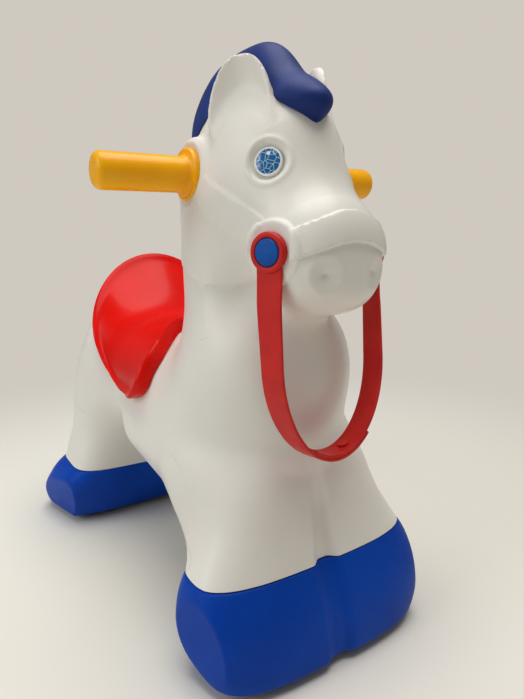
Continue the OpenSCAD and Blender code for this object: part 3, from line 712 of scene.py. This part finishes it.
bm = bmesh.new()
bmesh.ops.create_grid(bm, x_segments=saddle["columns"], y_segments=saddle["rows"], size=1)
upper = list(bm.verts)
copy = bmesh.ops.duplicate(bm, geom=bm.verts[:] + bm.edges[:] + bm.faces[:])["geom"]
lower = [v for v in copy if isinstance(v, bmesh.types.BMVert)]
bmesh.ops.reverse_faces(bm, faces=[f for f in copy if isinstance(f, bmesh.types.BMFace)])
saddleSheet(upper, True)
saddleSheet(lower, False)
bmesh.ops.bridge_loops(bm, edges=[e for e in bm.edges if e.is_boundary])
bmesh.ops.recalc_face_normals(bm, faces=bm.faces)
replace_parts(newPiece("saddleSeat", bm, looks["saddle"]), "saddle")
print("saddle made")

# mane: a ball stretched into a roll over the crown, t running from the forelock to the nape

mane = {"thickness": 29.5, "width": 20.5, "forelock": 24, "nape": 46, "from": 74, "to": -98,
        "waist": 0.4, "lobe": 0.12, "centre": (0, -20, 8), "foot": 3, "sunk": 1}

bm = bmesh.new()
bmesh.ops.create_uvsphere(bm, u_segments=64, v_segments=120, radius=1)
verts = list(bm.verts)
g = points(verts) / 1000
t = 1 - np.arccos(np.clip(g[:, 2], -1, 1)) / np.pi
around = np.arctan2(g[:, 1], g[:, 0])
full = np.sqrt(1 - (1 - unit(np.minimum(t, 1 - t) / 0.07)) ** 2)   # rounds off both ends
width = mix(mane["forelock"], mane["width"], ease((t - 0.1) / 0.1))
width = mix(width, mane["nape"], ease((t - 0.4) / 0.16))
width = width * (0.3 + 0.7 * np.sqrt(ease(t / 0.13))) * (1 - 0.45 * ease((t - 0.7) / 0.3))
depth = np.sin(np.pi * mix(0.05, 0.93, t)) ** 0.45
depth = depth - mane["waist"] * np.exp(-((t - 0.21) / 0.1) ** 2)
depth = depth + mane["lobe"] * np.exp(-((t - 0.04) / 0.05) ** 2)
a = np.radians(mix(mane["from"], mane["to"], t))
d = np.stack([0 * a, -np.sin(a), np.cos(a)], -1)
o = head + np.array(mane["centre"], float) + np.stack([np.cos(around) * width * full, 0 * a, 0 * a], -1)
top = np.sin(around)
foot = mane["foot"]
over = foot + (mane["thickness"] * depth - foot) * np.abs(top) ** 0.9
rise = np.where(top > 0, over, foot + foot * top) * full
place(verts, o + d * (reach(o, d, 140) - mane["sunk"] + rise)[:, None])
bmesh.ops.recalc_face_normals(bm, faces=bm.faces)
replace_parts(newPiece("maneRoll", bm, looks["mane"]), "mane")
print("mane made")

# bases: one ring drawn up through the outer wall, over the top and down inside

skirt = {"rim": 7, "wall": 4, "plate": 6, "edge": 1.5, "dent": 4, "swell": 4, "segments": 288,
         "post": {"low": 48.4, "radius": (9, 9.4), "into": 0.5}}   # the posts take the castor stems
frontBase = {"height": 84, "half": 107, "back": 2.6, "front": 3.4, "square": 3,
             "legDepth": 38, "footDepth": 49, "legY": -172, "footY": -182,
             "spread": -3, "bulge": 13, "flat": 111, "slant": 0.27, "lean": 0, "castors": (66, -184)}
rearBase = {"height": 74, "half": 119, "back": 3.2, "front": 4.3, "square": 4.3,
            "legDepth": 53, "footDepth": 58, "legY": 156, "footY": 188,
            "spread": 17, "bulge": 16, "flat": 135, "slant": 0.25, "lean": 0.184, "castors": (80, 182)}


# outline at one height, cut off flat at both sides and dented in its outer end
def footRing(base, z, shift):
    low, high = skirt["rim"], base["height"]
    t = unit((z - low) / (high - low))
    less = shift + 2.5 * (1 - unit((z - low) / 4)) ** 2
    swell = 4 * t * (1 - t)
    w = mix(base["half"] + base["spread"], base["half"], t) + base["bulge"] * swell - less
    d = mix(base["footDepth"], base["legDepth"], ease(t * 0.5) * 2) + skirt["swell"] * swell - less
    a = np.arange(skirt["segments"]) * math.tau / skirt["segments"]
    c, s = np.cos(a), np.sin(a)
    n = mix(np.where(s < 0, base["front"], base["back"]), base["square"], ease((t - 0.6) / 0.4))
    q = (np.abs(c) ** n + np.abs(s) ** n) ** (1 / n)
    y = mix(base["footY"], base["legY"], t) + s / q * d
    flat = base["flat"] + base["lean"] * (z - low) - less + base["slant"] * (y - base["footY"])
    x = np.sign(c) * blend(np.abs(c / q * w), flat, 1.2)
    dent = skirt["dent"] * (1 - ease((np.abs(x) - 5) / 10)) * (s * base["footY"] > 0)
    return np.stack([x, y - np.sign(s) * dent, 0 * a + z], -1)


def makeBase(name, base):
    low, top, edge = skirt["rim"], base["height"], skirt["edge"]
    levels = [*np.linspace(low, low + 4, 6), *np.linspace(low + 7, top - 3, 20)]
    outside = [footRing(base, z, 0) for z in levels]
    crown = [footRing(base, top - edge + edge * math.sin(k), edge - edge * math.cos(k))
             for k in (0, 0.4, 0.8, 1.2, 1.57)]
    bm = bmesh.new()
    rim, roof = drawTube(bm, outside + crown)
    bmesh.ops.contextual_create(bm, geom=roof)
    inside = [footRing(base, z, skirt["wall"]) for z in np.linspace(top - skirt["plate"], low, 14)]
    roof, inner = drawTube(bm, inside)
    bmesh.ops.contextual_create(bm, geom=roof)
    bmesh.ops.bridge_loops(bm, edges=rim + inner)
    x, y = base["castors"]
    post = skirt["post"]
    high = top - skirt["plate"] + post["into"]
    thin, thick = (r / 1000 for r in post["radius"])
    for side in (-1, 1):
        at = Matrix.Translation((side * x / 1000, y / 1000, (post["low"] + high) / 2000))
        bmesh.ops.create_cone(bm, cap_ends=True, segments=40, radius1=thin, radius2=thick,
                              depth=(high - post["low"]) / 1000, matrix=at)
    bmesh.ops.recalc_face_normals(bm, faces=bm.faces)
    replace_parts(newPiece(name + "Skirt", bm, looks["base"], sharp=32), name + "_base")


makeBase("front", frontBase)
makeBase("rear", rearBase)
print("bases made")

# rein: each side is a collar and a strap that turns from the cheek into the loop

rein = {"width": 21, "thick": 2.6, "hinge": (-203.954, 302.6), "loop": 254, "lean": 4, "bend": 16,
        "collar": 14.4, "height": 5.5,
        "right": {"radius": 51, "drop": 76, "sweep": 128, "twist": (21, 14)},
        "left": {"radius": 48.35, "drop": 73.35, "sweep": 116, "twist": (6, 0)}}


# middle, outward side and twist of a strap, from the collar down and round the loop
def strapPath(loop):
    start = bitFace + bitAxis * 1.6
    y, z = rein["hinge"]
    first, last = loop["twist"]
    for h in np.linspace(bitFace[2] - 6, rein["loop"], 36):
        k = float(ease((bitFace[2] - 14 - h) / 34))
        turn = mix(mix(23, first, k), last, float(unit((z - h) / (z - rein["loop"]))))
        yield np.array([mix(start[0], loop["radius"], k), mix(start[1], y, k), h]), np.array([1, 0, 0]), turn
    for a in np.linspace(0, loop["sweep"], 80)[1:]:
        c, s = math.cos(math.radians(a)), math.sin(math.radians(a))
        out = np.array([loop["drop"] * c, 0, -loop["radius"] * s])
        middle = np.array([loop["radius"] * c, y, rein["loop"] - loop["drop"] * s])
        yield middle, out / lengths(out), last * (1 - float(ease(a / 90)))


# below the hinge the strap leans towards the front
def strapRings(loop):
    a = np.arange(24) * math.tau / 24
    wide = np.sign(np.cos(a)) * np.abs(np.cos(a)) ** 0.16 * rein["width"] / 2
    thick = np.sign(np.sin(a)) * np.abs(np.sin(a)) ** 0.35 * rein["thick"] / 2
    y, z = rein["hinge"]
    for middle, out, turn in strapPath(loop):
        c, s = math.cos(math.radians(turn)), math.sin(math.radians(turn))
        side = np.array([0, 1, 0])
        p = middle + np.outer(wide, side * c + out * s) + np.outer(thick, out * c - side * s)
        lean = math.radians(rein["lean"] * float(ease((z + rein["bend"] / 2 - middle[2]) / rein["bend"])))
        v, w = p[:, 1] - y, p[:, 2] - z
        c, s = math.cos(lean), math.sin(lean)
        yield np.stack([p[:, 0], y + v * c + w * s, z - v * s + w * c], -1)


def makeRein(name, side):
    loop = rein[name]
    bm = bmesh.new()
    # collar turned about the pin: radius and height of its outline
    e, h = rein["collar"], rein["height"]
    outline = [(5.2, 0.1), (e - 0.6, 0.1), (e, 0.7), (e, h - 1.6), (e - 0.5, h - 0.5), (e - 1.4, h),
               (11.2, h), (10.5, h - 0.4), (10.1, 3), (5.2, 3)]
    dots = [bm.verts.new((r / 1000, 0, z / 1000)) for r, z in outline]
    lines = [bm.edges.new((dots[i - 1], dots[i])) for i in range(len(dots))]
    bmesh.ops.spin(bm, geom=dots + lines, cent=(0, 0, 0), axis=(0, 0, 1), angle=math.tau, steps=72,
                   use_merge=True)
    turn = Vector(bit["axis"]).to_track_quat("Z", "X").to_matrix().to_4x4()
    bmesh.ops.transform(bm, matrix=Matrix.Translation(Vector(bit["face"]) / 1000) @ turn, verts=bm.verts)
    closeTube(bm, list(strapRings(loop)))
    bmesh.ops.scale(bm, vec=(side, 1, 1), verts=bm.verts)
    bmesh.ops.recalc_face_normals(bm, faces=bm.faces)
    piece = newPiece("rein" + name.capitalize(), bm, looks["rein"], None)
    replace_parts(piece, "rein_eyelet_" + name, "rein_strap_" + name)
    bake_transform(piece)


makeRein("left", 1)
makeRein("right", -1)
print("rein made")

# CAD nodes that show keep their shape and take a finish

finishes = {
    "saddle_screws": "steel", "handle_rod": "steel", "base_screws": "steel", "castor_stem": "steel",
    "castor_axle": "steel", "castor_fork": "castor", "wheel": "rubber", "rein_stud": "rein",
    "rein_pin": "pin", "grip": "grip", "eye_button": "button", "eye_iris": "iris",
}
for name, shown in nodes.items():
    if shown.hide_render:
        continue
    look = next(v for k, v in finishes.items() if k in name)
    shown.data.materials.clear()
    shown.data.materials.append(looks[look])
print("CAD nodes finished")

# stage: pale floor, soft light, the photo's camera

stage = {"floor": (232, 230, 222), "wall": (207, 201, 192), "near": 0.4, "far": 1.1, "radius": 6,
         "sky": (236, 232, 228), "skyStrength": 0.27}


# lit near the horse and keeping its shadow, it turns into the wall's plain tone further off
def floorLook():
    made = bpy.data.materials.new("paleFloor")
    made.use_nodes = True
    tree = made.node_tree
    link = tree.links.new
    shader = tree.nodes["Principled BSDF"]
    shader.inputs["Roughness"].default_value = 0.6
    shader.inputs["Specular IOR Level"].default_value = 0.2
    shader.inputs["Base Color"].default_value = linear(stage["floor"])
    plain = node(tree, "Emission", Color=linear(stage["wall"]))
    where = node(tree, "TexCoord")
    off = node(tree, "VectorMath", operation="LENGTH")
    fade = node(tree, "MapRange", interpolation_type="SMOOTHSTEP")
    fade.inputs["From Min"].default_value = stage["near"]
    fade.inputs["From Max"].default_value = stage["far"]
    path = node(tree, "LightPath")
    seen = node(tree, "Math", operation="MULTIPLY")
    pick = node(tree, "MixShader")
    link(where.outputs["Object"], off.inputs[0])
    link(off.outputs["Value"], fade.inputs["Value"])
    link(fade.outputs["Result"], seen.inputs[0])
    link(path.outputs["Is Camera Ray"], seen.inputs[1])
    link(seen.outputs["Value"], pick.inputs[0])
    link(shader.outputs[0], pick.inputs[1])
    link(plain.outputs[0], pick.inputs[2])
    link(pick.outputs[0], tree.nodes["Material Output"].inputs["Surface"])
    return made


bm = bmesh.new()
bmesh.ops.create_circle(bm, cap_ends=True, segments=96, radius=stage["radius"])
mesh = bpy.data.meshes.new("floor")
bm.to_mesh(mesh)
bm.free()
mesh.materials.append(floorLook())
floor = bpy.data.objects.new("floor", mesh)
bpy.context.scene.collection.objects.link(floor)

world = bpy.data.worlds.new("room")
bpy.context.scene.world = world
world.use_nodes = True
tree = world.node_tree
sky = tree.nodes["Background"]
sky.inputs["Color"].default_value = linear(stage["sky"])
sky.inputs["Strength"].default_value = stage["skyStrength"]
seen = node(tree, "Background", Color=linear(stage["wall"]), Strength=1)
path = node(tree, "LightPath")
pick = node(tree, "MixShader")
tree.links.new(path.outputs["Is Camera Ray"], pick.inputs[0])
tree.links.new(sky.outputs[0], pick.inputs[1])
tree.links.new(seen.outputs[0], pick.inputs[2])
tree.links.new(pick.outputs[0], tree.nodes["World Output"].inputs["Surface"])

lamps = {
    "window": {"spot": (-1.8, 0.2, 1.2), "aim": (0, 0, 0.25), "size": 1.4, "power": 13,
               "color": (0.9, 0.96, 1)},
    "ceiling": {"spot": (0.1, -0.15, 2.1), "aim": (0, 0, 0.2), "size": 1.8, "power": 36,
                "color": (1, 0.97, 0.92)},
}
for name, lamp in lamps.items():
    data = bpy.data.lights.new(name, "AREA")
    data.shape = "DISK"
    data.size = lamp["size"]
    data.energy = lamp["power"]
    data.color = lamp["color"]
    made = bpy.data.objects.new(name, data)
    made.location = lamp["spot"]
    made.rotation_mode = "QUATERNION"
    made.rotation_quaternion = (Vector(lamp["aim"]) - Vector(lamp["spot"])).to_track_quat("-Z", "Y")
    bpy.context.scene.collection.objects.link(made)

camera = {"spot": (-0.2660, -0.5282, 0.3464), "yaw": 32.75, "pitch": 11.2, "roll": 0.88, "lens": 28.21}
yaw, pitch, roll = (math.radians(camera[k]) for k in ("yaw", "pitch", "roll"))
ahead = Vector((math.sin(yaw) * math.cos(pitch), math.cos(yaw) * math.cos(pitch), -math.sin(pitch)))
right = Vector((math.cos(yaw), -math.sin(yaw), 0))
down = ahead.cross(right)
right, down = right * math.cos(roll) + down * math.sin(roll), down * math.cos(roll) - right * math.sin(roll)
data = bpy.data.cameras.new("camera")
data.lens = camera["lens"]
data.sensor_width = 36
data.clip_start = 0.01
eyePoint = bpy.data.objects.new("camera", data)
turn = Matrix((right, -down, -ahead)).transposed().to_4x4()
eyePoint.matrix_world = Matrix.Translation(camera["spot"]) @ turn
bpy.context.scene.collection.objects.link(eyePoint)
bpy.context.scene.camera = eyePoint
bpy.context.scene.view_settings.view_transform = "Standard"

bpy.context.view_layer.update()
